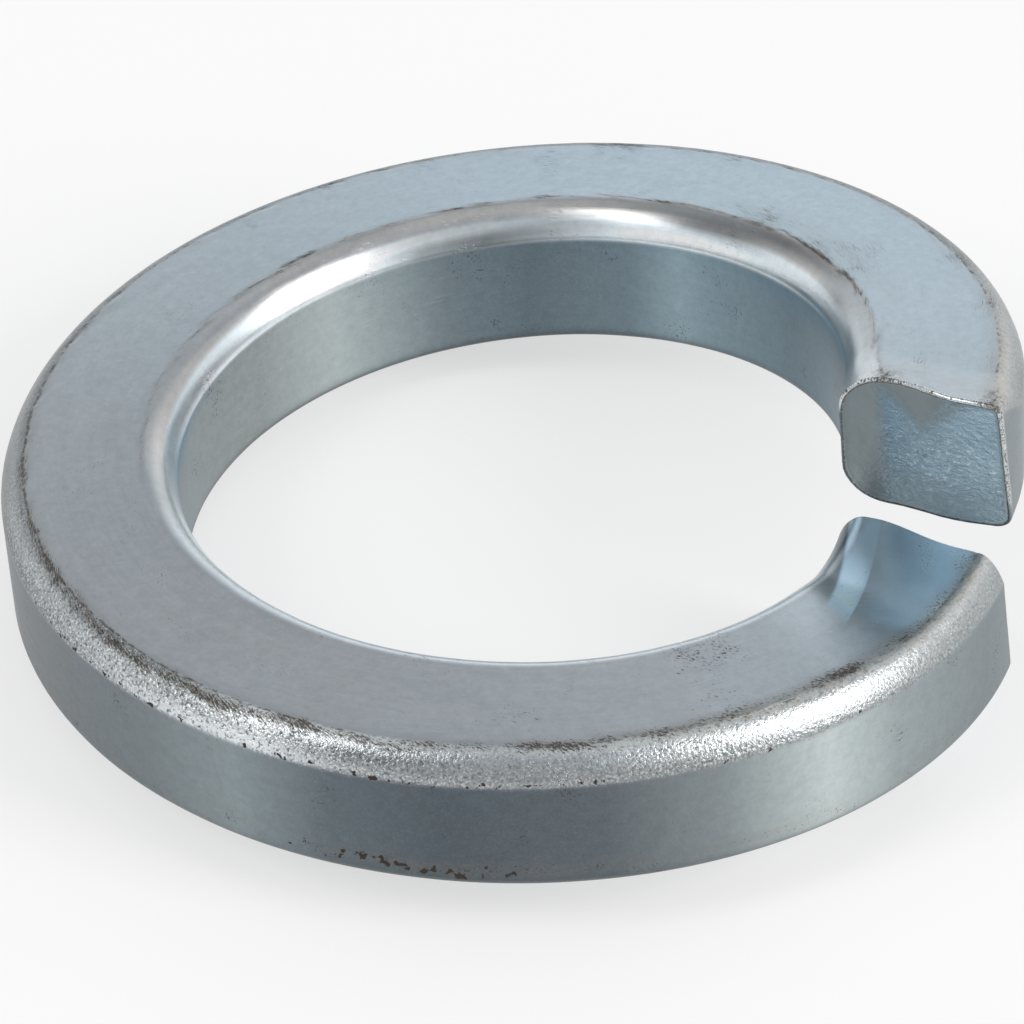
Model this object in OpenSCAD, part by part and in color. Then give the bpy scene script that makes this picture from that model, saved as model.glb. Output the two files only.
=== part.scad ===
// Helical spring lock washer for an M30 bolt.
// A bar of keystone section is coiled once round the bolt and sheared off.
// It stays sprung: the upper end stands a bar's thickness above the lower one.
// The bore's axis is Z, and the lowest edge lies on the plane z = 0.

/* [Ring] */
// Diameter of the bore
bore_d = 30.5; // [26:0.5:42]
// Width of the bar, from the bore to the rim
bar_w = 8; // [6.5:0.1:10]
// Thickness of the bar at the middle of its width
bar_t = 7; // [6:0.1:8.5]
// Wedge between the top and bottom faces, thicker at the bore, in degrees
keystone = 3.5; // [0:0.5:5]
// Rise of the coil in one full turn
pitch = 7.6; // [1:0.1:14]
// Way the coil climbs, seen from above
climb = "clockwise"; // [clockwise, anticlockwise]

/* [Corner roundings] */
// Reach of the top rounding at the rim, across the bar
rim_top_w = 1.15; // [0.6:0.05:1.8]
// Depth of the top rounding at the rim
rim_top_h = 1.4; // [0.6:0.05:1.8]
// Reach of the top rounding at the bore, across the bar
bore_top_w = 1.4; // [0.6:0.05:1.8]
// Depth of the top rounding at the bore
bore_top_h = 1.55; // [0.6:0.05:1.8]
// Radius of the bottom edge at the rim
rim_bottom_r = 0.85; // [0.3:0.05:1.2]
// Radius of the bottom edge at the bore
bore_bottom_r = 0.6; // [0.3:0.05:1.2]

/* [Cut ends] */
// Where the lower end is cut, in degrees round from the X axis
lower_cut = -19; // [-30:0.5:-6]
// Angle left open between the two ends, seen from above
gap_angle = 0.6; // [0.2:0.2:12]
// Turn of the cut away from radial, in degrees at the axis
cut_skew = 5.2; // [0:0.2:8]
// Lean of the cut over the bar's thickness, in degrees at the axis
cut_lean = 4.6; // [0:0.2:6]
// Swell of the cut beyond the middle of the bar, in degrees at the axis
cut_swell = 1; // [0:0.1:2.5]
// Wave of the cut over the bar's width, in degrees at the axis
cut_wave = 0.2; // [0:0.1:0.6]
// Length of bar that the shear has drawn out of shape at the lower end
lower_drawn = 5; // [3:0.5:7]
// Length of bar that it has drawn out of shape at the upper end
upper_drawn = 3.5; // [2:0.5:7]
// Height of the lip that the shear raised along the top of both ends
lip_rise = 0.65; // [0:0.05:0.8]
// Depth to which the shear pulled in the upper end at the rim
rim_pull = 0.25; // [0:0.05:0.6]
// Depth of the top rounding at the bore where it meets the lower cut
lower_bore_h = 1.25; // [0.6:0.05:1.8]
// Radius to which the shear crushed the upper end's corners at the bore
crushed_r = 2.1; // [1:0.1:2.3]
// Radius to which it sharpened the upper end's top corner at the rim
burr_r = 0.4; // [0.2:0.05:1]

/* [Smoothness] */
// Steps of the sweep between the drawn ends
steps = 120; // [72:12:144]
// Steps of each corner rounding
corner_steps = 6; // [3:1:6]

/* [Hidden] */
bore_r = bore_d / 2;
rim_r = bore_r + bar_w;
middle = [bar_w / 2, bar_t / 2];
turned = 360 - gap_angle;
// Shares of the whole sweep that the drawn lengths of the two ends take
low_share = lower_drawn / ((bore_r + middle.x) * turned * PI / 180);
up_share = upper_drawn / ((bore_r + middle.x) * turned * PI / 180);
end_steps = 8;
// How far the swept walls stand proud of the bore and rim that are cut out of them
proud = 0.04;
// Height of the coil's start above the foot of the lower end
foot = pitch * (cut_skew + cut_lean) / 720 + tan(keystone / 2) * middle.x;
free_h = foot + pitch + bar_t + lip_rise;

function blend(a, b, t) = a + (b - a) * t;
function held(x) = min(max(x, 0), 1);
function smooth(x) = let (t = held(x)) t * t * (3 - 2 * t);

// A quarter of an ellipse, w by h, about [x, z]
function rounding(x, z, w, h, from) = [
    for (k = [0:corner_steps])
        let (a = from + 90 * k / corner_steps)
            [x + w * cos(a), z + h * sin(a)]
];

// The bar's section. Each point is [distance from the bore, height].
// Either share grows from 0 along the bar to 1 at its own cut.
function section(at_low, at_up) =
    let (
        near = -proud,
        far = bar_w + proud,
        rim_w = blend(rim_top_w, burr_r, at_up),
        rim_h = blend(rim_top_h, burr_r, at_up),
        bore_w = blend(bore_top_w, crushed_r, at_up),
        bore_h = blend(blend(bore_top_h, lower_bore_h, at_low), crushed_r, at_up),
        low_r = blend(bore_bottom_r, crushed_r, at_up)
    )
    concat(
        rounding(far - rim_bottom_r, rim_bottom_r, rim_bottom_r, rim_bottom_r, -90),
        rounding(far - rim_w, bar_t - rim_h, rim_w, rim_h, 0),
        rounding(near + bore_w, bar_t - bore_h, bore_w, bore_h, 90),
        rounding(near + low_r, low_r, low_r, low_r, 180)
    );

// The keystone thins the bar towards the rim, above and below its middle
function wedged(p) =
    let (thinning = tan(keystone / 2) * (p.x - middle.x) / middle.y)
        [p.x, middle.y + (p.y - middle.y) * (1 - thinning)];

// Angle at which the shear passed each point of the section: a skewed, leaning
// face that swells a little outside the middle of the bar and waves over its width
function cut_angle(p) =
    let (
        across = p.x / middle.x - 1,
        up = p.y / middle.y - 1,
        swell = exp(-pow((across - 0.25) / 0.5, 2))
    )
    -cut_skew / 2 * across - cut_lean / 2 * up - cut_swell * swell - cut_wave * sin(180 * across);

// How much the lower and the upper cut have drawn the bar, t of the way along it.
// The lower end rises to its cut as a plane ramp, the upper one as a smooth bend.
function drawn_low(t) = held(1 - t / low_share);
function drawn_up(t) = smooth(1 - (1 - t) / up_share);

// One point of the coil, t of the way from the lower cut to the upper one
function swept(p, t) =
    let (
        w = wedged(p),
        angle = lower_cut + cut_angle(w) - turned * t,
        raised = drawn_low(t) + drawn_up(t) * smooth(w.x / middle.x),
        lip = lip_rise * raised * held(w.y / middle.y - 1),
        pull = rim_pull * drawn_up(t) * held(w.x / middle.x - 1) * held(0.2 + 0.8 * w.y / bar_t),
        r = bore_r + w.x - pull
    )
    [r * cos(angle), r * sin(angle), foot + w.y + lip + pitch * (lower_cut - angle) / 360];

// The coiled bar as one skin. Its rings are stepped finely over the drawn ends
// and evenly between them, and shrink in two steps over each cut face.
module coil() {
    places = concat(
        [for (k = [0:end_steps - 1]) low_share * k / end_steps],
        [for (k = [0:steps]) blend(low_share, 1 - up_share, k / steps)],
        [for (k = [1:end_steps]) 1 - up_share * (1 - k / end_steps)]
    );
    stations = concat(
        [[0, 0.3], [0, 0.65]],
        [for (t = places) [t, 1]],
        [[1, 0.65], [1, 0.3]]
    );
    rings = [
        for (s = stations)
            let (outline = section(drawn_low(s[0]), drawn_up(s[0])))
                [for (p = outline) swept(middle + (p - middle) * s[1], s[0])]
    ];
    n = len(rings[0]);
    last = len(rings) - 1;
    skin = [
        for (k = [0:last - 1])
            for (j = [0:n - 1])
                let (a = k * n + j, b = k * n + (j + 1) % n)
                    each [[a, b + n, b], [a, a + n, b + n]]
    ];
    lower_cap = [for (j = [0:n - 1]) j];
    upper_cap = [for (j = [0:n - 1]) last * n + n - 1 - j];
    polyhedron([for (ring = rings) each ring], concat(skin, [lower_cap, upper_cap]), convexity = 6);
}

// The coil, with its rim and its bore cut true to size
module washer() {
    color("lightsteelblue")
        mirror([0, climb == "clockwise" ? 0 : 1, 0])
            difference() {
                intersection() {
                    coil();
                    translate([0, 0, -bar_t])
                        cylinder(r = rim_r, h = free_h + 2 * bar_t, $fn = 180);
                }
                translate([0, 0, -2 * bar_t])
                    cylinder(r = bore_r, h = free_h + 4 * bar_t, $fn = 180);
            }
}

washer();
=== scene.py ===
# %% [markdown]
# # A spring lock washer in bright zinc
#
# A bar of steel is rolled to a keystone section, coiled once round a mandrel and
# sheared off. Then it is hardened and zinc plated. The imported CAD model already
# has that form. Here it gets a skin that is fine enough to carry what the tools
# left on it: rough roundings, drawing marks, the torn faces of the cut, and the
# dirt that sits in the corners.

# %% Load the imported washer
import math

import bpy
import numpy as np
from mathutils import Matrix


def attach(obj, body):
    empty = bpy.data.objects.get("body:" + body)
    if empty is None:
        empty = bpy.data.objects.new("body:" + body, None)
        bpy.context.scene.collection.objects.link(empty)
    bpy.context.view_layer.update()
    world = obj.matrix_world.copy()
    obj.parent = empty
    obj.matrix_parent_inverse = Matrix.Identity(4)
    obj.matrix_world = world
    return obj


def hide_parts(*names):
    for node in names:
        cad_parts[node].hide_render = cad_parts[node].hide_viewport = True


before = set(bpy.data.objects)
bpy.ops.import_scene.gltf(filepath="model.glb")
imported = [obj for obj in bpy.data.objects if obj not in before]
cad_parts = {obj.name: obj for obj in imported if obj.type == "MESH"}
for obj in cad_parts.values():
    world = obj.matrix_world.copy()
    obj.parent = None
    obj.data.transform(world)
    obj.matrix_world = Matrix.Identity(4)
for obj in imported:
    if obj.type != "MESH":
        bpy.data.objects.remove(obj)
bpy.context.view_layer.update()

# %% [markdown]
# ## The bar and how it was cut
#
# All sizes are in millimetres and are those of the CAD model, so the new skin
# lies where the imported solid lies. A sweep suits a coiled bar: one section is
# carried round the helix, and its shape may change on the way. That is easier
# than bending a straight bar with modifiers, and each point keeps its place on
# the section, which the finish needs later.

# %% Sizes of the bar and of its two cut ends
BORE_R, BAR_W, BAR_T = 15.25, 8.0, 7.0
RIM_R = BORE_R + BAR_W
KEYSTONE = math.tan(math.radians(3.5 / 2))
PITCH = 7.6
LOWER_CUT, TURNED = -19.0, 359.4
CUT_SKEW, CUT_LEAN, CUT_SWELL, CUT_WAVE = 5.2, 4.6, 1.0, 0.2
LOWER_DRAWN, UPPER_DRAWN, LIP_RISE, RIM_PULL = 5.0, 3.5, 0.65, 0.25
# Top roundings as width and depth, then the bottom radii
RIM_TOP, BORE_TOP = (1.15, 1.4), (1.4, 1.55)
RIM_BOTTOM_R, BORE_BOTTOM_R = 0.85, 0.6
# Corners that the shear changed: lower end at the bore, upper end at the bore and at the rim
LOWER_BORE_H, CRUSHED_R, BURR_R = 1.25, 2.1, 0.4
# The sweep stands this far proud of the bore and the rim, and is then held to them
PROUD = 0.04
MIDDLE = np.array([BAR_W / 2, BAR_T / 2])
FOOT = PITCH * (CUT_SKEW + CUT_LEAN) / 720 + KEYSTONE * MIDDLE[0]
LENGTH = math.radians(TURNED) * (BORE_R + MIDDLE[0])
print(f"The bar is {LENGTH:.1f} mm long along its middle")

# %% Three helpers for shapes that change smoothly
def blend(a, b, share):
    return a + (b - a) * share


def held(x):
    return np.clip(x, 0, 1)


def smooth(x):
    return held(x) ** 2 * (3 - 2 * held(x))


# %% [markdown]
# ## The section
#
# The rolls left large uneven roundings on top and small ones below. Towards the
# cuts the shear crushed the corners at the bore and sharpened the one at the
# rim. So the section is worked out afresh for every station along the bar, as
# four quarter ellipses with straight runs between them.

# %% Corner roundings and the straight runs between them
CORNER_POINTS, RUN_POINTS = (9, 17, 17, 9), (15, 27, 15, 11)
# Degrees of its ellipse that a top rounding leaves out, where it meets its wall at a faint edge
FAINT_EDGE = 30


def rounding(x, z, w, h, start, count):
    a = np.radians(start + np.linspace(0, 90, count))
    return np.stack([x + w * np.cos(a), z + h * np.sin(a)], axis=1)


def crowned(x, z, w, h, edge, count):
    """A top rounding from its wall to the top. It leaves the wall at a faint edge."""
    a, start = np.radians(np.linspace(edge, 90, count)), math.radians(edge)
    rise = 1 - (1 - np.sin(a)) / (1 - math.sin(start))
    return np.stack([x + w * np.cos(a) / math.cos(start), z + h * rise], axis=1)


def section(at_low, at_up):
    """The outline as [distance from the bore, height]. Both shares grow to 1 at their own cut."""
    near, far, top = -PROUD, BAR_W + PROUD, BAR_T
    rim_w, rim_h = blend(RIM_TOP[0], BURR_R, at_up), blend(RIM_TOP[1], BURR_R, at_up)
    bore_w = blend(BORE_TOP[0], CRUSHED_R, at_up)
    bore_h = blend(blend(BORE_TOP[1], LOWER_BORE_H, at_low), CRUSHED_R, at_up)
    rim_r, bore_r = RIM_BOTTOM_R, blend(BORE_BOTTOM_R, CRUSHED_R, at_up)
    faint = blend(FAINT_EDGE, 0, at_up)
    corners = [
        rounding(far - rim_r, rim_r, rim_r, rim_r, -90, CORNER_POINTS[0]),
        crowned(far - rim_w, top - rim_h, rim_w, rim_h, faint, CORNER_POINTS[1]),
        crowned(near + bore_w, top - bore_h, -bore_w, bore_h, faint, CORNER_POINTS[2])[::-1],
        rounding(near + bore_r, bore_r, bore_r, bore_r, 180, CORNER_POINTS[3]),
    ]
    parts = []
    for k, corner in enumerate(corners):
        follow = corners[(k + 1) % 4][0]
        # Points crowd towards the corners, so that the border of a rounding stays crisp
        count = np.arange(1, RUN_POINTS[k] + 1)[:, None]
        share = 0.5 - 0.5 * np.cos(math.pi * count / (RUN_POINTS[k] + 1))
        parts += [corner, blend(corner[-1], follow, share)]
    return np.concatenate(parts)


AROUND = sum(CORNER_POINTS) + sum(RUN_POINTS)
starts = np.cumsum([0] + [n for pair in zip(CORNER_POINTS, RUN_POINTS) for n in pair])
print("Points round the section:", AROUND, "with parts that start at", starts[:-1])

# %% [markdown]
# ## The shear
#
# One blow cut the coil off, so both ends show the same slanted face, one from
# each side. Each point of the section meets that face at its own angle round
# the axis. The blow also drew the last few millimetres of bar out of shape and
# raised a lip along the top.

# %% Where the cut lies and how far it drew the bar
def wedged(p):
    thinning = KEYSTONE * (p[..., 0] - MIDDLE[0]) / MIDDLE[1]
    z = MIDDLE[1] + (p[..., 1] - MIDDLE[1]) * (1 - thinning)
    return np.stack([p[..., 0], z], axis=-1)


def cut_angle(p):
    across, up = p[..., 0] / MIDDLE[0] - 1, p[..., 1] / MIDDLE[1] - 1
    swell = CUT_SWELL * np.exp(-(((across - 0.25) / 0.5) ** 2))
    wave = CUT_WAVE * np.sin(math.pi * across)
    return -CUT_SKEW / 2 * across - CUT_LEAN / 2 * up - swell - wave


def drawn_low(t):
    """How far the lower cut has drawn the bar: a plane ramp, with a short bend at its start."""
    u = 1 - t * LENGTH / LOWER_DRAWN
    return held((u + np.sqrt(u**2 + 0.006)) / 2)


def drawn_up(t):
    """How far the upper cut has drawn it: a smooth bend."""
    return smooth(1 - (1 - t) * LENGTH / UPPER_DRAWN)


# %% The facet and the lips
FACET_FALL, FACET_WIDTH = 0.09, 1.55


def facet_edge(from_low):
    """How far from the bore the crease of the lower end's facet runs."""
    return 2.1 + 0.16 * from_low + 0.018 * from_low**2


def facet_drop(x, from_low):
    """The facet falls gently towards the bore, and ends where the dish ends."""
    inside = np.clip(facet_edge(from_low) - x, 0, FACET_WIDTH)
    return FACET_FALL * inside * smooth((7.8 - from_low) / 3.2)


def lip_across(x):
    """The upper lip's height over the width. It stays below the box of the CAD model."""
    return smooth(x / MIDDLE[0]) * (0.8 + 0.13 * held((x - MIDDLE[0]) / 3.6))


def swept(p, t):
    """Carries points of the section to their place t of the way along the coil."""
    w = wedged(p)
    x, z = w[..., 0], w[..., 1]
    angle = np.radians(LOWER_CUT + cut_angle(w) - TURNED * t)
    raised = drawn_low(t) + drawn_up(t) * lip_across(x)
    lip = LIP_RISE * raised * held(z / MIDDLE[1] - 1)
    pull = RIM_PULL * drawn_up(t) * held(x / MIDDLE[0] - 1) * held(0.2 + 0.8 * z / BAR_T)
    r = np.clip(BORE_R + x - pull, BORE_R, RIM_R - 0.001)
    lip = lip - facet_drop(x, t * LENGTH) * held(z / MIDDLE[1] - 1)
    rise = FOOT + z + lip + PITCH * (math.radians(LOWER_CUT) - angle) / math.tau
    return np.stack([r * np.cos(angle), r * np.sin(angle), rise], axis=-1)


# %% [markdown]
# ## Stations along the bar
#
# The stations stand close together near the cuts, where the shape changes
# quickest. The last four draw the section in a little, so that the edge of the
# cut is broken by a tenth of a millimetre and catches the light as a real edge
# does.

# %% Stations, with how far each draws the section in
EDGE = 0.1
FINE_END, COARSE = 5.0, 0.172
end = np.concatenate([np.arange(EDGE, 0.6, 0.05), np.arange(0.6, FINE_END, 0.13)])
between = np.linspace(FINE_END, LENGTH - FINE_END, int((LENGTH - 2 * FINE_END) / COARSE))
edge = EDGE * (1 - np.cos(np.radians([0, 25, 50, 75])))
stations = np.concatenate([edge, end, between, LENGTH - end[::-1], LENGTH - edge[::-1]]) / LENGTH
drawn_in = EDGE - np.sqrt(np.clip(EDGE**2 - (EDGE - edge) ** 2, 0, None))
insets = np.concatenate([drawn_in, np.zeros(2 * len(end) + len(between)), drawn_in[::-1]])
print("Stations:", len(stations), "and faces of the skin:", 2 * AROUND * (len(stations) - 1))

# %% Sections at all stations, and their outward directions
low_share, up_share = drawn_low(stations), drawn_up(stations)
rings = np.stack([section(a, b) for a, b in zip(low_share, up_share)])
step = np.roll(rings, -1, axis=1) - np.roll(rings, 1, axis=1)
outward = np.stack([step[..., 1], -step[..., 0]], axis=-1)
outward /= np.linalg.norm(outward, axis=-1, keepdims=True)
gone = np.linalg.norm(np.diff(rings, axis=1), axis=-1)
laid = np.concatenate([np.zeros((len(rings), 1)), np.cumsum(gone, axis=1)], axis=1)
along = stations[:, None] * LENGTH * (BORE_R + rings[..., 0]) / (BORE_R + MIDDLE[0])
print(f"The section is {laid[len(laid) // 2, -1]:.1f} mm round")

# %% [markdown]
# ## Where each kind of surface lies
#
# The finish differs from face to face: rolled roundings are rough, walls carry
# drawing marks, and dirt keeps to the borders between them. Every point gets a
# few numbers from 0 to 1 that say what it belongs to. They are kept on the mesh
# as attributes, which stay with the part when it is exported, where masks
# painted by the camera's view would slide about.

# %% Distance of each point from the borders of the section and from the two cuts
def from_border(part):
    """Distance in mm round the section, positive on the way to the top and bore."""
    return laid - laid[:, starts[part]][:, None]


def near(distance, width):
    """A band: 1 where the distance is nothing, and fading over the width."""
    return np.exp(-((distance / width) ** 2))


foot_line, rim_low, rim_high = from_border(1), from_border(2), from_border(3)
bore_high, bore_low, bore_foot = from_border(4), from_border(5), from_border(6)
from_low, from_cut = stations[:, None] * LENGTH, (1 - stations[:, None]) * LENGTH
across_bar = rings[..., 0]
at_rim = across_bar > MIDDLE[0]

# %% Masks of the walls, the roundings and the top
rim_wall = smooth(0.5 - rim_low / 0.2)
rim_rounding = smooth(rim_low / 0.2 + 0.5) * smooth(0.5 - rim_high / 0.3)
top_face = smooth(rim_high / 0.3 + 0.5) * smooth(0.5 - bore_high / 0.3)
bore_rounding = smooth(bore_high / 0.3 + 0.5) * smooth(0.5 - bore_low / 0.15)
bore_wall = smooth(bore_low / 0.15 + 0.5)
raised_side = smooth((foot_line - 0.3) / 0.8) * smooth(0.5 - (bore_low + 0.6) / 0.6)
print(f"Share of the points on the top: {top_face.mean():.2f}")

# %% What changes round the ring
# A point's turn is its angle from the X axis, seen from above. The side that faces the
# camera is at -90 degrees, the left at 180 and the cuts at about -20.
bare = swept(rings, stations[:, None])
turn = np.degrees(np.arctan2(bare[..., 1], bare[..., 0]))


def round_ring(profile):
    """Each point's share, from a profile of percentages at a few turns."""
    return np.interp(turn, list(profile), list(profile.values())) / 100


def around(middle, fade, flat=1.5):
    """A stretch of the ring: 1 about its middle, fading at both ends."""
    return smooth(flat - abs(turn - middle) / fade)


# %% [markdown]
# ## Relief
#
# Relief that can be seen as shape is put in the mesh: a slow waviness, the
# hammered look of the rim's rounding, nicks along its borders. It stays within
# a few hundredths of a millimetre and cuts inwards nearly everywhere, so the
# size stays. What is finer than the mesh is left to the bump of the material.

# %% Smooth random heights over a surface
COLUMNS, ROWS = 211, 223


def lumps(x, y, size_x, size_y, seed):
    """Soft random heights from -1 to 1, in lumps of the given sizes in millimetres."""
    table = np.random.default_rng(seed).uniform(-1, 1, (COLUMNS, ROWS))
    x, y = x / size_x, y / size_y
    i, j = np.floor(x).astype(int), np.floor(y).astype(int)
    u, v = smooth(x - i), smooth(y - j)
    i, j, i2, j2 = i % COLUMNS, j % ROWS, (i + 1) % COLUMNS, (j + 1) % ROWS
    low = blend(table[i, j], table[i2, j], u)
    return blend(low, blend(table[i, j2], table[i2, j2], u), v)


# %% Relief of the rolled skin, strongest where the rim's rounding is gritty
grit_at = round_ring({
    -180: 10, -165: 50, -150: 90, -118: 100, -100: 66, -88: 34, -72: 74, -45: 42, -20: 22, 60: 20,
    140: 20, 180: 10,
})
hammered = 0.014 * lumps(along, laid, 0.6, 0.5, 3) + 0.006 * lumps(along, laid, 0.33, 0.3, 4)
hammered *= grit_at
seam = near(rim_high + 0.12 * lumps(along, 0 * laid, 1.3, 1, 5), 0.16)
nicks = smooth(lumps(along, laid, 0.5, 0.3, 6) * 3 - 1.2) * (near(rim_high, 0.3) + near(rim_low, 0.25))
wavy = 0.006 * lumps(along, laid, 2.6, 1.8, 7)
marks = 0.004 * lumps(along, laid, 9, 0.35, 8) * (rim_wall + bore_wall)
chips = smooth(lumps(along, laid, 0.6, 0.4, 9) * 3 - 1.4) * near(foot_line - 0.1, 0.3)
relief = hammered * rim_rounding + 0.3 * hammered * bore_rounding + wavy + marks
relief -= 0.02 + 0.012 * seam + 0.03 * nicks + 0.04 * chips
print(f"Deepest nick: {-relief.min():.3f} mm")

# %% Relief of the upper cut: a burr along its top and rim, held inside the CAD model's box
BURR_MOST = 0.025
burr = (0.05 + 0.03 * lumps(along, laid, 0.3, 0.35, 10)) * near(from_cut - 0.16, 0.11) * raised_side
relief = np.minimum(relief + burr, BURR_MOST)
print(f"Relief from {relief.min():.3f} to {relief.max():.3f} mm")

# %% The skin's points, in metres
placed = rings + outward * (relief - insets[:, None])[..., None]
skin = swept(placed, stations[:, None]) / 1000
print(f"The skin is {1000 * skin[..., 2].max():.2f} mm high")

# %% [markdown]
# ## The cut faces
#
# A sheared face has a smooth part, where the blade slid, and a torn part that
# is crinkled across the blow. Each face is a nest of rings that shrink to the
# middle of the section, pushed in and out along the bar.

# %% Rings of the two cut faces
CAP_RINGS = 22


def cut_face(ring, t, into, seed):
    """Places, torn and slid shares, flat points and distance from the edge of one cut face."""
    shares = 1 - (np.arange(1, CAP_RINGS + 1) / CAP_RINGS)
    shares[-1] = 0.004
    p = MIDDLE + (ring - MIDDLE) * shares[:, None, None]
    x, z = p[..., 0], p[..., 1]
    # The blade slid in a V below the top edge and tore what lies beneath, less near the bore
    slid = smooth((z / BAR_T - 0.62 - 0.95 * abs(x / BAR_W - 0.5)) / 0.2)
    torn = smooth((x / BAR_W - 0.2) / 0.1) * (1 - slid) * blend(0.5, 1, smooth(z / BAR_T * 4 - 0.7))
    depth = 0.03 * lumps(x, z, 0.8, 0.35, seed) * torn + 0.02 * lumps(x, z, 1.6, 1.3, seed + 1)
    place = swept(p, t + into * (0.03 + depth * smooth((1 - shares)[:, None] * 6)) / LENGTH)
    margin = (1 - shares)[:, None] * np.linalg.norm(ring - MIDDLE, axis=-1)[None, :]
    return place / 1000, torn, slid, p, margin


low_face, low_torn, low_slid, low_flat, low_margin = cut_face(placed[0], stations[0], 1, 20)
up_face, up_torn, up_slid, up_flat, up_margin = cut_face(placed[-1], stations[-1], -1, 30)
print("Points on each cut face:", up_torn.size)

# %% Join skin and cut faces into one closed mesh
points = np.concatenate([low_face[::-1], skin, up_face]).reshape(-1, 3)
ring_count = len(points) // AROUND
a = (np.arange(ring_count - 1)[:, None] * AROUND + np.arange(AROUND)[None, :]).ravel()
b = (np.arange(ring_count - 1)[:, None] * AROUND + np.roll(np.arange(AROUND), -1)[None, :]).ravel()
quads = np.stack([a, b, b + AROUND, a + AROUND], axis=1)
first, last = np.arange(AROUND), np.arange(AROUND) + (ring_count - 1) * AROUND
mesh = bpy.data.meshes.new("sprung_bar")
faces = quads.tolist() + [first.tolist(), last.tolist()[::-1]]
mesh.from_pydata(points.tolist(), [], faces)
mesh.validate()
mesh.polygons.foreach_set("use_smooth", np.ones(len(mesh.polygons), dtype=bool))
washer = bpy.data.objects.new("sprung_bar", mesh)
bpy.context.scene.collection.objects.link(washer)
print("Triangles:", sum(len(p.vertices) - 2 for p in mesh.polygons))

# %% [markdown]
# ## Masks on the mesh
#
# The material has to know where it is: on a wall, on a rounding, in a dirty
# corner. One could paint that on an image, but an image needs its own unwrapped
# coordinates and blurs when one comes close. Attributes hold one number for
# each point of the mesh instead, and fine noise breaks them up later.

# %% Two helpers that keep a number for each point
def keep(name, on_skin, on_low, on_up):
    """Keeps numbers for the rolled skin and for the lower and the upper cut face."""
    values = np.concatenate([on_low[::-1], on_skin, on_up]).ravel().astype(np.float32)
    mesh.attributes.new(name, "FLOAT", "POINT").data.foreach_set("value", values)


def keep_on_skin(name, values):
    blank = np.zeros(low_torn.shape)
    keep(name, np.broadcast_to(values, laid.shape), blank, blank)


# %% Keep the distances and the parts of the section
keep_on_skin("along", along)
keep_on_skin("laid", laid)
keep_on_skin("from_rim_edge", rim_high)
keep_on_skin("rim_rounding", rim_rounding)
keep_on_skin("bore_rounding", bore_rounding)
keep_on_skin("wall", held(rim_wall + bore_wall))
keep_on_skin("top", top_face)
# Where the bottom roundings get painted shade
keep_on_skin("foot", held(near(foot_line + 0.7, 0.35) + near(bore_foot - 0.4, 0.3)))

# %% Keep the border of the upper cut, which the shear chewed, and the gritty stretches
chewed = near(from_cut - 0.5, 0.9) * held(near(rim_high - 0.1, 0.7) + near(bore_high + 0.2, 0.8))
keep_on_skin("chewed", chewed)
keep_on_skin("brink", near(from_cut - 0.1, 0.16) * raised_side)
keep_on_skin("grit", held(rim_rounding * grit_at + 0.03 + 0.8 * chewed))
print("Attributes so far:", len(mesh.attributes))

# %% [markdown]
# ## Painted light and shade round the ring
#
# How light the walls and the roundings look round the ring is painted into the
# coat: painted reflection and shade, for what they mirror. That could be painted
# by hand in Blender. Here a few percentages round the ring say how light the
# walls are, and how much light each rounding gives back near its wall, halfway
# and near the top, since numbers are easy to change and stay with the part
# whatever its size.

# %% Painted reflection and shade: how light the walls and the rim's rounding are
painted_light_on_rim_wall = round_ring({
    -180: 15, -165: 11, -150: 20, -135: 26, -123: 40, -112: 15, -100: 8, -83: 12, -70: 35, -57: 92,
    -47: 53, -29: 28, 20: 20, 180: 15,
})
painted_light_on_bore_wall = round_ring({
    -180: 24, -168: 34, -60: 45, -2: 14, 12: 25, 28: 24, 48: 40, 56: 54, 66: 29, 85: 19, 100: 30,
    110: 56, 122: 82, 140: 50, 165: 42, 180: 24,
})
# The walls' tone round the ring is painted reflection and shade
keep_on_skin("tone", np.where(at_rim, painted_light_on_rim_wall, painted_light_on_bore_wall))
# The rim's rounding is painted lighter or darker round the ring: painted reflection
keep_on_skin("rounding_tone", round_ring({
    -180: 10, -165: 25, -150: 40, -135: 70, -120: 100, -105: 70, -90: 80, -70: 90, -55: 100,
    -35: 60, 0: 35, 90: 30, 180: 10,
}))
print(f"The rim's tone goes from {painted_light_on_rim_wall.min():.2f} to {painted_light_on_rim_wall.max():.2f}")

# %% Painted sheen of the roundings: painted highlights and reflections
def over_rounding(up, sheens):
    """Blends three percentages for each turn, where up is 0 at the wall and 1 at the top."""
    low, mid, high = [round_ring(dict(zip(sheens, row))) for row in zip(*sheens.values())]
    to_mid, to_high = held((up - 0.22) / 0.28), held((up - 0.5) / 0.28)
    return np.where(up < 0.5, blend(low, mid, to_mid), blend(mid, high, to_high))


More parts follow.
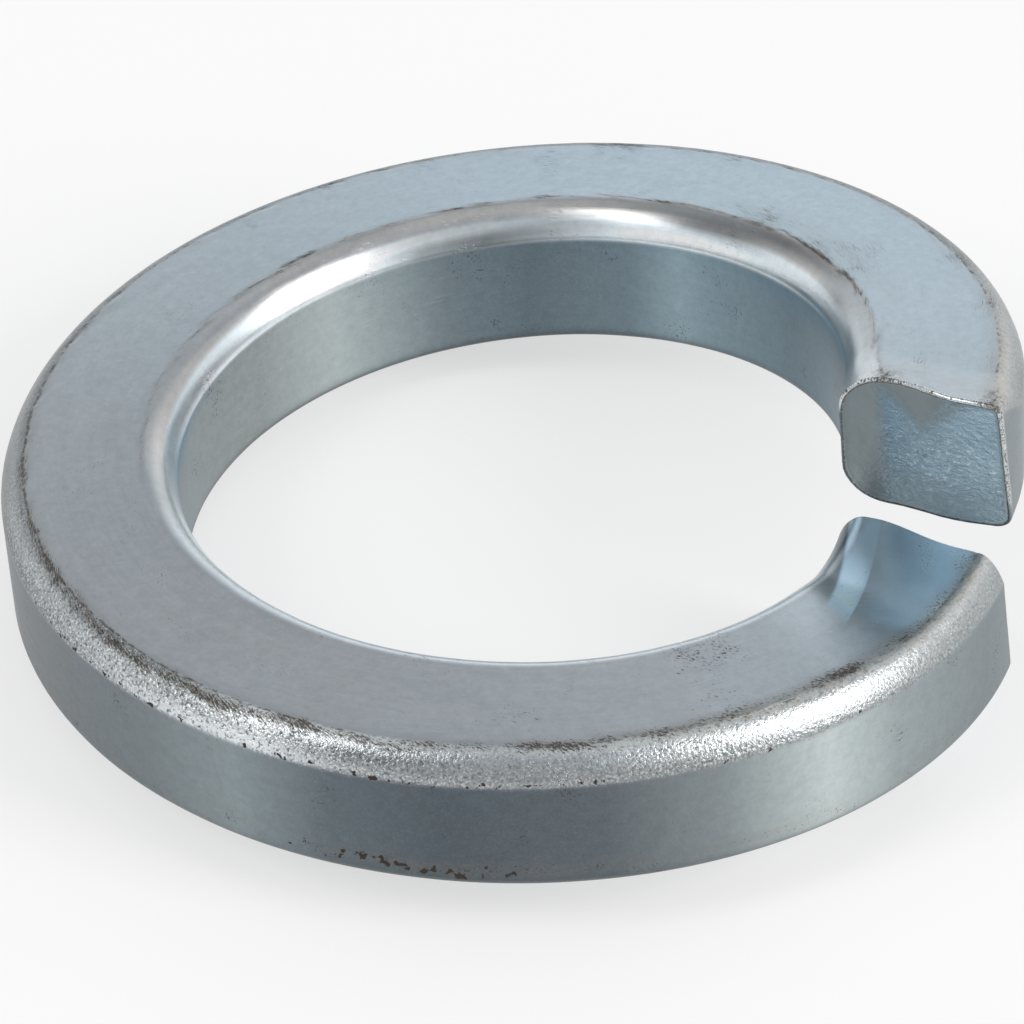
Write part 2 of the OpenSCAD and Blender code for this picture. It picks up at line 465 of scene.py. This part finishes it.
rim_painted_sheen = over_rounding(held(rim_low / (rim_low - rim_high)), {
    -180: (55, 66, 115), -166: (58, 112, 110), -155: (80, 113, 135), -143: (106, 122, 64),
    -131: (140, 70, 75), -120: (140, 93, 180), -110: (85, 36, 190), -95: (68, 102, 125),
    -80: (60, 102, 142), -60: (54, 90, 142), -45: (62, 74, 145), -27: (84, 98, 138),
    -10: (55, 85, 130), 5: (98, 82, 112), 20: (93, 84, 72), 160: (88, 78, 90), 180: (55, 66, 115),
})
bore_painted_sheen = over_rounding(held(-bore_low / (bore_high - bore_low)), {
    -180: (76, 130, 118), -168: (60, 125, 80), -20: (100, 100, 100), -6: (60, 108, 60),
    5: (120, 80, 60), 13: (130, 46, 66), 24: (88, 122, 60), 34: (108, 110, 45), 44: (128, 52, 67),
    54: (145, 34, 77), 62: (150, 46, 84), 72: (105, 74, 99), 82: (62, 110, 106), 92: (35, 160, 104),
    104: (62, 165, 106), 114: (145, 165, 92), 126: (130, 108, 108), 140: (120, 80, 118),
    156: (150, 90, 105), 168: (150, 88, 102), 180: (76, 130, 118),
})
both_roundings = np.maximum(rim_rounding, bore_rounding)
# Painted sheen: brighter and darker bands on the roundings that stand in for what they mirror
keep_on_skin("sheen", blend(1, np.where(at_rim, rim_painted_sheen, bore_painted_sheen), both_roundings))
# The lower part of the bore's rounding, and all of it in front, is painted pale: a painted reflection
front = round_ring({-180: 0, -155: 100, 0: 100, 12: 70, 25: 0})
burnished = np.maximum(smooth((bore_high - 0.95) / 0.35), front) * bore_rounding
keep_on_skin("burnished", burnished)
print(f"Sheen over the rim's rounding: {rim_painted_sheen.min():.2f} to {rim_painted_sheen.max():.2f}")

# %% [markdown]
# ## Colour round the ring
#
# The last bath leaves a clear film on bright zinc, and its tint follows its
# thickness: grey where it is thin, blue where it is thicker, teal or cream where
# the liquid hung longest. Here teal lies at the foot of the bore's rounding, and
# cream on the rim's upper border in front of the cut.

# %% Where the coat is blue, teal or cream
blue_of_rim = round_ring({-180: 5, -150: 12, -115: 28, -90: 22, -60: 8, -20: 30, 0: 35, 180: 5})
blue_of_bore = round_ring({
    -180: 65, -165: 50, -60: 40, 10: 80, 60: 62, 95: 45, 125: 8, 160: 5, 180: 65,
})
blue_below_rounding = round_ring({
    -180: 80, -150: 50, -60: 20, 0: 90, 40: 10, 140: 0, 165: 20, 180: 80,
})
blue_of_bore += near(bore_low - 0.2, 0.7) * blue_below_rounding
blue_of_top = held(0.5 + 0.5 * np.cos(np.radians(turn - 50)))
blue_of_walls = held(np.where(at_rim, blue_of_rim, blue_of_bore))
keep_on_skin("cool", blend(blue_of_walls, blue_of_top, top_face))
teal_width = np.where(abs(turn) > 120, 0.5, 0.28)
keep_on_skin("teal", near(bore_low + 0.05, teal_width) * round_ring({
    -180: 90, -165: 90, -140: 60, -60: 30, -12: 90, 0: 100, 14: 80, 30: 0, 150: 0, 168: 50, 180: 90,
}))
cream_at = round_ring({-90: 0, -66: 100, -30: 100, -20: 80, -8: 60, 0: 30, 12: 0})
keep_on_skin("cream", near(rim_high + 0.2, 0.45) * cream_at)
print("Attributes so far:", len(mesh.attributes))

# %% [markdown]
# ## Dirt
#
# Oil and dust gather in the borders of the roundings, where no cloth reaches,
# and in pits of the steel. The dirt isn't drawn speck by speck: the attributes
# only say how dirty a place is, and the material scatters the specks.

# %% The film of dirt in the borders
soiled_rim = round_ring({
    -180: 60, -160: 75, -140: 95, -125: 100, -108: 85, -92: 80, -70: 60, -50: 95, -30: 50, 0: 30,
    90: 20, 140: 25, 180: 60,
})
soiled_bore = round_ring({
    -180: 48, -140: 15, -100: 8, -60: 10, 0: 60, 40: 85, 70: 75, 100: 70, 130: 80, 155: 60, 180: 48,
})
soiled_foot = round_ring({
    -180: 20, -115: 35, -105: 100, -90: 100, -80: 60, -50: 55, -30: 30, 0: 20,
})
# This profile is in hundredths of a millimetre: how far the dirt lies from the rim's border
dirt_at = round_ring({
    -180: 0, -150: -10, -125: -40, -100: -15, -80: 0, -60: 30, -45: 35, -30: 10, 180: 0,
})
strayed = 0.12 * lumps(along, 0 * laid, 1.1, 1, 11) + 0.08 * lumps(along, 0 * laid, 0.4, 1, 12)
in_borders = near(rim_high - dirt_at + strayed, 0.42) + near(bore_high + 0.05 + strayed, 0.17)
grime = in_borders * np.where(at_rim, soiled_rim, soiled_bore)
grime += 0.45 * near(foot_line - 0.25 + strayed, 0.35) * soiled_foot
grime += 0.12 * near(from_cut - 0.2, 0.2) * raised_side
grime += 0.35 * near(from_cut - 0.8, 0.8) * (near(rim_high, 0.9) + near(bore_high + 0.3, 0.8))
grime += 0.3 * near(bore_high + 0.9, 1.0) * around(30, 20)
keep_on_skin("grime", held(grime * (0.85 + 0.35 * lumps(along, laid, 1.5, 0.5, 13))))
print(f"Share of the skin under a film of dirt: {(grime > 0.3).mean():.2f}")

# %% Pits with dirt in them, freckles on the top, and the dark line along the rim's border
pits_at = round_ring({-180: 40, -150: 90, -100: 85, -60: 60, -20: 20, 150: 20, 180: 40})
pitted = near(rim_low - 0.12 + strayed, 0.22) * pits_at
pitted += 0.95 * near(foot_line - 0.2 + 2 * strayed, 0.4) * around(-103, 14)
freckled = near(turn + 86, 13) * near(across_bar - 4.6, 1.5)
freckled += 0.7 * near(turn + 104, 10) * near(across_bar - 5.6, 1.2)
pitted += 0.42 * freckled + 0.3 * near(bore_high + 0.5, 0.9) * around(35, 22, 1.3)
keep_on_skin("pitted", held(pitted))
keep_on_skin("seam", round_ring({
    -180: 90, -150: 80, -135: 65, -118: 50, -100: 30, -40: 30, 0: 40, 60: 0, 150: 20, 180: 90,
}))

# %% [markdown]
# ## The two ends
#
# The shear stretched the skin of the lower end into a smooth blue dish, with a
# facet along its left. The facet is painted pale, a painted reflection, and a
# patch on the flat before the dish is painted lighter. The dish is painted darker
# at the facet's crease and lighter towards the rim, and a narrow strip left of
# the facet is painted dark as shade. Most of their borders are crisp, so
# distances in millimetres are kept beside the masks, and the material cuts them
# off sharply. Scratches lie round them.

# %% Distances from the borders of the dish and of the facet
wavering = 0.25 * lumps(along, laid, 0.8, 0.5, 14)
keep_on_skin("past_dish", from_low - 7.1 + 0.035 * across_bar**2 + wavering)
past_facet = across_bar - facet_edge(from_low)
keep_on_skin("past_facet", past_facet)
keep_on_skin("short_of_facet", smooth((-1.5 - past_facet) / 0.12) * smooth((from_low - 1.5) / 2))
# How far along the bar the painted shade left of the facet reaches
keep_on_skin("deep_in", near(from_low - 1, 4.0))
# A patch on the top before the dish is painted lighter: painted light
painted_patch = smooth((from_low - 6.2) / 1.2) * smooth((11.5 - from_low) / 3.5) * top_face
keep_on_skin("pale_patch", painted_patch)
scuffed = near(from_low - 5.4, 1.1) * near(across_bar - 3.6, 1.2)
scuffed += near(turn - 118, 20) * near(bore_low - 2.2, 1.3)
keep_on_skin("scuffed", held(scuffed))

# %% Keep what the cut faces need
keep("torn", 0 * laid, low_torn, up_torn)
keep("slid", 0 * laid, low_slid, up_slid)
keep("face_x", 0 * laid, low_flat[..., 0], up_flat[..., 0])
keep("face_z", 0 * laid, low_flat[..., 1], up_flat[..., 1])
keep("margin", 0 * laid, low_margin, up_margin)
print("Attributes in all:", len(mesh.attributes))

# %% [markdown]
# ## Bright zinc on rolled steel
#
# Bright zinc is laid on by electroplating, about 10 micrometres thick, over
# steel that still has its rolled and tumbled surface. It gives a pale blue grey
# metal with a satin gloss: flat faces mirror their surroundings softly, and the
# rough roundings break every reflection into sparks.

# %% Two functions, one for colours and one that adds a node
def linear(hex_colour):
    """An sRGB hex colour as the linear values that Blender works in."""
    srgb = [int(hex_colour[k : k + 2], 16) / 255 for k in (1, 3, 5)]
    return [v / 12.92 if v <= 0.04045 else ((v + 0.055) / 1.055) ** 2.4 for v in srgb] + [1]


def add(kind, *inputs, **settings):
    """Adds a node to the present tree and returns its first output. Its inputs are given
    in order: a value, the output that feeds it, or None to leave it as it is."""
    node = tree.nodes.new("ShaderNode" + kind)
    for name, value in settings.items():
        setattr(node, name, value)
    for socket, value in zip([s for s in node.inputs if s.enabled], inputs):
        if isinstance(value, bpy.types.NodeSocket):
            tree.links.new(value, socket)
        elif value is not None:
            socket.default_value = value
    return next(s for s in node.outputs if s.enabled)


# Settings that many nodes share: a product, a vector times a number, a mix of two colours
TIMES, SCALED, COLOURS = {"operation": "MULTIPLY"}, {"operation": "SCALE"}, {"data_type": "RGBA"}


# %% Bright zinc, rolled skin: what it reads from the mesh
def metal(name):
    material = bpy.data.materials.new(name)
    material.use_nodes = True
    shader = material.node_tree.nodes["Principled BSDF"]
    shader.inputs["Metallic"].default_value = 1
    return material, material.node_tree, shader


def read_from_mesh(names):
    return {name: add("Attribute", attribute_name=name).node.outputs["Fac"] for name in names.split()}


skin_zinc, tree, shader = metal("bright_zinc_on_rolled_steel")
mm = add("VectorMath", add("TexCoord").node.outputs["Object"], 1000, **SCALED)
read = read_from_mesh(
    "along laid from_rim_edge rim_rounding bore_rounding burnished wall top foot grit tone "
    "rounding_tone cool grime pitted past_dish past_facet short_of_facet chewed brink sheen "
    "teal cream seam pale_patch scuffed deep_in"
)
lengthwise = add("CombineXYZ", read["along"], read["laid"])

# %% Bright zinc, rolled skin: patterns, with their real sizes in millimetres
# Clouds of the bath, 5 mm wide, and the mottle of steel that was tumbled, 0.5 mm
blotches = add("TexNoise", mm, 1 / 5, 5, 0.65)
mottle = add("TexNoise", mm, 1 / 0.5, 4, 0.75)
# Drawing marks: 5 mm long. Real ones are 0.02 mm wide, too fine to show, so these are 0.25
lines = add("TexNoise", add("Mapping", lengthwise, None, None, (1 / 5, 1 / 0.25, 1)), 1, 5, 0.7)
# Zinc grains are a few hundredths of a millimetre, drawn at 0.15 and 0.11 to show at all
grain = add("TexNoise", mm, 1 / 0.15, 2, 0.6)
pepper = add("TexNoise", mm, 1 / 0.11, 1, 0.5)
# Specks of dirt of 0.13 mm, and pits of 0.38
fine = add("TexNoise", add("Mapping", lengthwise, None, None, (1 / 0.9, 1 / 1.25, 1)), 1 / 0.13, 3, 0.65)
coarse = add("TexNoise", mm, 1 / 0.38, 3, 0.6)

# %% Bright zinc, rolled skin: tones of the coat
# First the flat faces, then the roundings and the walls, then thin tints over them all
coat = add("Mix", blotches, linear("#a9a9aa"), linear("#b7b9ba"), **COLOURS)
coat = add("Mix", read["cool"], coat, linear("#adbec9"), **COLOURS)
# The rim's rounding gets painted reflection, lighter or darker round the ring
rounded = add("Mix", read["rounding_tone"], linear("#82888b"), linear("#c6cbcd"), **COLOURS)
coat = add("Mix", read["rim_rounding"], coat, rounded, **COLOURS)
coat = add("Mix", read["bore_rounding"], coat, linear("#b7b6b5"), **COLOURS)
# The pale painted reflection on the bore's rounding
coat = add("Mix", read["burnished"], coat, linear("#dee7ec"), **COLOURS)
# The walls' colour follows the painted reflection and shade round the ring
walls = add("Mix", read["tone"], linear("#454b52"), linear("#cdd5d3"), **COLOURS)
bluer = add("VectorMath", walls, (0.7, 0.98, 1.18), **TIMES)
walls = add("Mix", read["cool"], walls, bluer, **COLOURS)
coat = add("Mix", read["wall"], coat, walls, **COLOURS)
# Painted sheen makes the roundings brighter or darker
coat = add("VectorMath", coat, read["sheen"], **SCALED)
# No part of the coat mirrors more than polished zinc does
coat = add("VectorMath", coat, (0.94, 0.95, 0.96), operation="MINIMUM")
# The patch before the dish is painted lighter
coat = add("VectorMath", coat, add("MapRange", read["pale_patch"], 0, 1, 1, 1.3), **SCALED)
coat = add("Mix", add("Math", read["teal"], 0.9, **TIMES), coat, linear("#427f99"), **COLOURS)
# Painted shade on the bottom roundings of both walls
coat = add("Mix", add("Math", read["foot"], 0.8, **TIMES), coat, linear("#4e5558"), **COLOURS)
coat = add("VectorMath", coat, add("MapRange", lines, 0.3, 0.7, 0.965, 1.035), **SCALED)
coat = add("VectorMath", coat, add("MapRange", mottle, 0.3, 0.7, 0.92, 1.08), **SCALED)

# %% Bright zinc, rolled skin: the dished end that the shear drew out
# The dish is painted darker at the facet's crease and lighter towards the rim: painted
# shade and reflection. Left of its pale facet lies a narrow dark strip
drawn = add("MapRange", read["past_dish"], 0.35, -0.35)
dish = add("Math", drawn, add("MapRange", read["from_rim_edge"], 0.02, 0.12), **TIMES)
dish = add("Math", dish, add("Math", 1, read["short_of_facet"], operation="SUBTRACT"), **TIMES)
bowl = add("VectorMath", linear("#bfd2de")[:3], add("MapRange", blotches, 0.3, 0.7, 0.88, 1.12), **SCALED)
bowl = add("VectorMath", bowl, add("MapRange", read["past_facet"], 0, 3.2, 0.78, 1.3), **SCALED)
coat = add("Mix", dish, coat, bowl, **COLOURS)
# The narrow dark strip left of the facet is painted shade
painted_shade_strip = add("Math", add("MapRange", read["past_facet"], -1.4, -1.6), drawn, **TIMES)
coat = add("Mix", add("Math", painted_shade_strip, read["deep_in"], **TIMES), coat, linear("#38515f"), **COLOURS)
facet = add("MapRange", read["past_facet"], 0, -0.08)
facet = add("Math", facet, add("MapRange", read["past_facet"], -1.65, -1.45), **TIMES)
facet = add("Math", facet, add("MapRange", read["past_dish"], 1, -0.4), **TIMES)
# The facet's paleness is a painted reflection, brightest near the dish's end
painted_facet_glint = add("MapRange", read["past_dish"], -4, -0.5, 0.84, 1.36)
coat = add("Mix", facet, coat, add("VectorMath", linear("#bdd7e8")[:3], painted_facet_glint, **SCALED), **COLOURS)

# %% Bright zinc, rolled skin: hair scratches, 3 mm long and a tenth of a millimetre wide
for turned, width in ((25, 0.1), (-50, 0.08), (80, 0.09)):
    across = add("Mapping", mm, None, (0, 0, math.radians(turned)), (1 / 3, 1 / width, 0))
    hair = add("Math", add("TexNoise", across, 1, 1, 0.5), add("Math", read["scuffed"], 0.09, **TIMES))
    hair = add("Math", add("MapRange", hair, 0.72, 0.76), read["top"], **TIMES)
    hair = add("Math", hair, add("MapRange", read["scuffed"], 0, 0.6, 0.16, 0.5), **TIMES)
    coat = add("Mix", hair, coat, linear("#d6e2e8"), **COLOURS)
scuffs = add("TexNoise", add("Mapping", lengthwise, None, None, (1 / 1.2, 1 / 0.22, 1)), 1, 5, 0.75)
scuffs = add("Math", read["scuffed"], add("MapRange", scuffs, 0.56, 0.7, 0, 0.35), **TIMES)
coat = add("Mix", scuffs, coat, linear("#d9e2e2"), **COLOURS)

# %% Bright zinc, rolled skin: the chewed border of the cut, and grit with painted glints and shade
# Grit is painted as bright glints beside painted shade in its hollows, the burr gets painted
# glints, and beads of dirt sit along the very edge
coat = add("Mix", add("Math", read["chewed"], 0.5, **TIMES), coat, linear("#cfd4d5"), **COLOURS)
cream = add("Math", read["cream"], add("MapRange", mottle, 0.35, 0.62, 0.24, 0.68), **TIMES)
coat = add("Mix", cream, coat, linear("#c5b7a2"), **COLOURS)
painted_sparks = add("Math", read["grit"], add("MapRange", pepper, 0.52, 0.62, 0, 0.64), **TIMES)
coat = add("Mix", painted_sparks, coat, linear("#f1f4f5"), **COLOURS)
painted_hollow_shade = add("Math", read["grit"], add("MapRange", grain, 0.36, 0.48, 0.76, 0), **TIMES)
coat = add("Mix", painted_hollow_shade, coat, linear("#4b4b4e"), **COLOURS)
painted_burr_glints = add("Math", read["brink"], add("MapRange", pepper, 0.4, 0.46, 0, 0.9), **TIMES)
coat = add("Mix", painted_burr_glints, coat, linear("#e9ebe9"), **COLOURS)
beads = add("Math", read["brink"], add("Math", read["chewed"], 0.9, **TIMES))
beads = add("Math", pepper, add("Math", beads, 0.24, **TIMES))
coat = add("Mix", add("MapRange", beads, 0.78, 0.84, 0, 0.85), coat, linear("#3f3b38"), **COLOURS)

# %% Bright zinc, rolled skin: the broken dark line, the film of dirt and the specks
# The line wanders by a tenth of a millimetre. Specks gather in clusters 2.4 mm wide
wander = add("MapRange", add("TexNoise", lengthwise, 1 / 1.5, 4, 0.7), 0.2, 0.8, -0.12, 0.12)
off_seam = add("Math", add("Math", read["from_rim_edge"], wander), operation="ABSOLUTE")
broken = add("Math", coarse, add("Math", read["seam"], 0.28, **TIMES))
broken = add("MapRange", broken, 0.6, 0.72, 0, 0.75)
dark_line = add("Math", add("MapRange", off_seam, 0.09, 0.03), broken, **TIMES)
coat = add("Mix", dark_line, coat, linear("#46433f"), **COLOURS)
film = add("Math", read["grime"], add("MapRange", mottle, 0.35, 0.65, 0.32, 0.72), **TIMES)
coat = add("Mix", film, coat, linear("#7f776d"), **COLOURS)
clusters = add("MapRange", add("TexNoise", mm, 1 / 2.4, 3, 0.6), 0.5, 0.74, 0, 0.18)
speck = add("Math", add("Math", fine, add("Math", read["grime"], 0.3, **TIMES)), clusters)
pit = add("Math", coarse, add("Math", read["pitted"], 0.37, **TIMES))
specks = add("MapRange", speck, 0.7, 0.82, 0, 0.85)
specks = add("Math", specks, add("MapRange", pit, 0.84, 0.88), operation="MAXIMUM")
coat = add("Mix", specks, coat, linear("#4b433d"), **COLOURS)
tree.links.new(coat, shader.inputs["Base Color"])

# %% Bright zinc, rolled skin: gloss, and relief of hundredths of a millimetre
# Bright zinc is about 0.3 rough. Walls, grit and dirt add to that
rough = add("MapRange", lines, 0.3, 0.7, 0.27, 0.33)
for place, rise in ((read["wall"], 0.06), (specks, 0.3), (read["grit"], 0.06)):
    rough = add("Math", rough, add("Math", place, rise, **TIMES))
tree.links.new(rough, shader.inputs["Roughness"])
bumped = add("Bump", read["grit"], 0.06 / 1000, None, grain)
bumped = add("Bump", 0.3, 0.02 / 1000, None, lines, bumped)
bumped = add("Bump", 0.5, 0.04 / 1000, None, add("Math", specks, -1, **TIMES), bumped)
tree.links.new(bumped, shader.inputs["Normal"])
print(skin_zinc.name, "has", len(tree.nodes), "nodes")

# %% [markdown]
# ## Bright zinc on the sheared faces
#
# The same plating over torn steel. It is bluer, because the coat is thinner and
# the crinkles mirror more of the sky, which the blue paints in as reflection.
# Small crests run across it, with painted highlights on them and painted shade
# in the troughs between.
# Where the blade slid at the start of the blow, the face is calm and grey.

# %% Bright zinc, sheared faces: what they read, and their patterns
cut_zinc, tree, shader = metal("bright_zinc_on_sheared_steel")
mm = add("VectorMath", add("TexCoord").node.outputs["Object"], 1000, **SCALED)
read = read_from_mesh("torn slid face_x face_z margin")
flat = add("CombineXYZ", read["face_x"], read["face_z"])
# Crinkles of 0.36 by 0.24 mm. The grain between them is finer than the 0.12 mm drawn
ripples = add("TexNoise", add("Mapping", flat, None, None, (1 / 0.36, 1 / 0.24, 1)), 1, 4, 0.65)
grain = add("TexNoise", mm, 1 / 0.12, 3, 0.7)
clouds = add("TexNoise", flat, 1 / 2, 3, 0.5)

# %% Bright zinc, sheared faces: a calm grey, the blue of the torn part, and painted light at the foot
calm = add("Mix", clouds, linear("#8a9293"), linear("#939da2"), **COLOURS)
to_rim = add("MapRange", read["face_x"], 1.6, 6)
blue = add("Mix", to_rim, linear("#7f99a9"), linear("#a3b9c5"), **COLOURS)
blue = add("VectorMath", blue, add("MapRange", clouds, 0.3, 0.7, 0.92, 1.08), **SCALED)
tone = add("Mix", read["torn"], calm, blue, **COLOURS)
tone = add("Mix", read["slid"], tone, linear("#808a8c"), **COLOURS)
# The face is painted lighter towards its foot: painted light
painted_glow_at_foot = add("MapRange", read["face_z"], 0.2, 2.4, 1.4, 1, interpolation_type="SMOOTHSTEP")
tone = add("VectorMath", tone, painted_glow_at_foot, **SCALED)

# %% Bright zinc, sheared faces: painted shade in troughs, painted highlights on crests, and a worn edge
belly = add("MapRange", read["face_x"], 2, 4, 0.5, 1)
belly = add("Math", add("MapRange", read["face_z"], 5.8, 4.2), belly, **TIMES)
belly = add("Math", belly, read["torn"], **TIMES)
painted_trough_shade = add("Math", add("MapRange", ripples, 0.44, 0.34, 0, 0.35), belly, **TIMES)
tone = add("Mix", painted_trough_shade, tone, linear("#5d7381"), **COLOURS)
painted_crest_highlight = add("MapRange", ripples, 0.53, 0.64, 0, 0.85)
painted_crest_highlight = add("Math", painted_crest_highlight, add("MapRange", grain, 0.42, 0.56), **TIMES)
tone = add("Mix", add("Math", painted_crest_highlight, belly, **TIMES), tone, linear("#dbe8ef"), **COLOURS)
worn = add("MapRange", read["margin"], 0.14, 0.02, 0, 0.35, interpolation_type="SMOOTHSTEP")
worn = add("MapRange", add("Math", worn, grain), 0.68, 0.8)
tone = add("Mix", worn, tone, linear("#6b6158"), **COLOURS)
tree.links.new(tone, shader.inputs["Base Color"])

# %% Bright zinc, sheared faces: gloss, and the relief of the crinkles
# The coat is as smooth as on the skin, and the crinkles alone break up what it mirrors
shader.inputs["Roughness"].default_value = 0.3
share = add("MapRange", read["torn"], 0, 1, 0.1, 0.9)
bumped = add("Bump", share, 0.34 / 1000, None, ripples)
share = add("MapRange", read["torn"], 0, 1, 0.15, 0.75)
bumped = add("Bump", share, 0.04 / 1000, None, grain, bumped)
tree.links.new(bumped, shader.inputs["Normal"])
print(cut_zinc.name, "has", len(tree.nodes), "nodes")

# %% Give each face its finish
mesh.materials.append(skin_zinc)
mesh.materials.append(cut_zinc)
of_ring = np.concatenate([np.repeat(np.arange(ring_count - 1), AROUND), [0, ring_count - 2]])
on_cut = (of_ring < CAP_RINGS) | (of_ring >= ring_count - 1 - CAP_RINGS)
mesh.polygons.foreach_set("material_index", on_cut.astype(np.int32))
mesh.update()
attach(washer, "root")
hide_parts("washer")
print("Faces with the cut's finish:", int(on_cut.sum()))

# %% [markdown]
# ## The floor
#
# A sprung washer doesn't lie level. It comes to rest at the tilt that brings its
# centre of mass lowest, on the foot of its lower end and on the edge opposite.
# The mean of the points stands for that centre here, which is close, though the
# points are denser at the ends. The washer keeps its place in the shared frame,
# so the floor takes the tilt.

# %% Find the plane that the washer rests on
# Only points below 9 mm can touch the floor
lower_half = points[points[:, 2] < 0.009]
centre = points.mean(axis=0)


def height_over(tilt):
    """Height of the centre over a floor that rises by tilt, and the floor's place."""
    normal = np.array([-tilt[0], -tilt[1], 1.0])
    normal /= np.linalg.norm(normal)
    floor_at = (lower_half @ normal).min()
    return centre @ normal - floor_at, normal, floor_at


tilt, reach = np.zeros(2), 0.05
while reach > 1e-5:
    tries = [tilt + reach * np.array([i, j]) for i in (-1, 0, 1) for j in (-1, 0, 1)]
    best = min(tries, key=lambda t: height_over(t)[0])
    reach = reach / 2 if best is tries[4] else reach
    tilt = best
_, floor_normal, floor_at = height_over(tilt)
print("The floor leans", round(math.degrees(math.acos(floor_normal[2])), 2), "degrees")

# %% A plain pale floor, 3 m wide
HALF_SIDE = 1.5
floor_mesh = bpy.data.meshes.new("floor")
side = np.cross(floor_normal, [0, 1, 0])
side /= np.linalg.norm(side)
ahead = np.cross(floor_normal, side)
signs = ((-1, -1), (-1, 1), (1, 1), (1, -1))
corners = [floor_normal * floor_at + HALF_SIDE * (i * side + j * ahead) for i, j in signs]
floor_mesh.from_pydata([c.tolist() for c in corners], [], [(0, 1, 2, 3)])
floor = bpy.data.objects.new("floor", floor_mesh)
bpy.context.scene.collection.objects.link(floor)
print("The floor passes", round(1000 * floor_at, 2), "mm from the centre of the frame")

# %% [markdown]
# ## White card
#
# White card is matt pressed paper, so it gives the eye an even pale ground with
# a soft shadow and no gloss. A share of plain white is added for rays from the
# camera and from reflections. The ground then looks white without more light on
# the washer, and the metal mirrors the same ground.

# %% White card for the floor
PLAIN_WHITE = 0.6
card = bpy.data.materials.new("white_card")
card.use_nodes = True
tree = card.node_tree
paper = tree.nodes["Principled BSDF"]
paper.inputs["Base Color"].default_value = linear("#f6f4f2")
paper.inputs["Roughness"].default_value = 0.9
ray = add("LightPath").node.outputs
seen = add("Math", ray["Is Camera Ray"], ray["Is Glossy Ray"], operation="MAXIMUM")
seen = add("Math", seen, ray["Is Transmission Ray"], operation="MAXIMUM")
glow = add("Emission", (1, 1, 1, 1), 1)
lit = add("MixShader", add("Math", seen, PLAIN_WHITE, **TIMES), paper.outputs[0], glow)
tree.links.new(lit, tree.nodes["Material Output"].inputs["Surface"])
floor_mesh.materials.append(card)
print(card.name, "has", len(tree.nodes), "nodes")

# %% [markdown]
# ## Light
#
# Metal shows its surroundings, so they are what is designed here: a white
# horizon that darkens upwards, one large softbox on each side for the streaks
# on the roundings, and nothing bright in front.

# %% Sky that is white at the horizon
world = bpy.data.worlds.new("studio")
bpy.context.scene.world = world
world.use_nodes = True
tree = world.node_tree
background = tree.nodes["Background"]
direction = add("TexCoord")
height = add("SeparateXYZ", direction).node.outputs["Z"]
gradient = add("ValToRGB", height)
ramp = gradient.node.color_ramp
ramp.elements[0].position, ramp.elements[0].color = 0, linear("#ffffff")
ramp.elements[1].position, ramp.elements[1].color = 1, linear("#f5f6f7")
# Colours from the horizon, at 0, to straight overhead, at 1
UP_THE_SKY = ((0.35, "#fbfcfd"), (0.55, "#e3e6e8"), (0.67, "#c3cbd1"), (0.76, "#acbcc9"), (0.87, "#d5d9dc"))
for at, colour in UP_THE_SKY:
    ramp.elements.new(at).color = linear(colour)
tree.links.new(gradient, background.inputs["Color"])
# The studio is brighter behind the washer, and a little to its right, than in front of it
toward = add("VectorMath", direction, (0.25, 0.9, 0), operation="DOT_PRODUCT")
level = add("Math", toward, 0.36, 0.82, operation="MULTIPLY_ADD")
level = add("Mix", add("MapRange", height, 0, 0.3, 1, 0), level, 0.9)
tree.links.new(level, background.inputs["Strength"])
print("The sky changes over", len(ramp.elements), "colours")

# %% Softboxes
def softbox(name, azimuth, elevation, distance, width, height, watts):
    """A rectangular lamp that faces the washer, placed as seen from the front."""
    light = bpy.data.lights.new(name, "AREA")
    light.shape, light.size, light.size_y, light.energy = "RECTANGLE", width, height, watts
    light.color = (1, 0.99, 0.975)
    lamp = bpy.data.objects.new(name, light)
    bpy.context.scene.collection.objects.link(lamp)
    a, e = math.radians(azimuth), math.radians(elevation)
    back = np.array([math.sin(a) * math.cos(e), -math.cos(a) * math.cos(e), math.sin(e)])
    lamp.location = back * distance
    lamp.rotation_mode = "QUATERNION"
    lamp.rotation_quaternion = lamp.location.to_track_quat("Z", "Y")
    print(f"{name}: {width} by {height} m, {watts} W")
    return lamp


softbox("softbox_left", -59, 45, 0.6, 0.16, 0.28, 0.95)
softbox("softbox_right", 65, 23, 0.6, 0.23, 0.36, 1.9)

# %% [markdown]
# ## Camera
#
# A long lens from 215 mm, 33.5 degrees above the horizon and turned by almost
# four degrees, which is where the photographed washer was seen from.

# %% Camera at the photograph's angle
ELEVATION, ROLL = math.radians(33.496), math.radians(-3.794)
TARGET, DISTANCE = np.array([-0.142, 3.717, 3.228]) / 1000, 0.21469
# The focal length in pixels of a square picture, and the width of the sensor in mm
FOCAL_PIXELS, PICTURE_PIXELS, SENSOR = 4572.69, 1024, 36
back = np.array([0, -math.cos(ELEVATION), math.sin(ELEVATION)])
right = np.array([1.0, 0, 0])
up = np.cross(back, right)
turned_right = right * math.cos(ROLL) + up * math.sin(ROLL)
turned_up = -right * math.sin(ROLL) + up * math.cos(ROLL)
eye = TARGET + back * DISTANCE
lens = bpy.data.cameras.new("camera")
lens.sensor_width, lens.lens = SENSOR, FOCAL_PIXELS / PICTURE_PIXELS * SENSOR
lens.clip_start, lens.clip_end = 0.01, 10
camera = bpy.data.objects.new("camera", lens)
bpy.context.scene.collection.objects.link(camera)
axes = np.stack([turned_right, turned_up, back], axis=1)
camera.matrix_world = Matrix([[*axes[k], eye[k]] for k in range(3)] + [[0, 0, 0, 1]])
bpy.context.scene.camera = camera
bpy.context.scene.view_settings.view_transform = "Standard"
print(f"Lens: {lens.lens:.1f} mm")
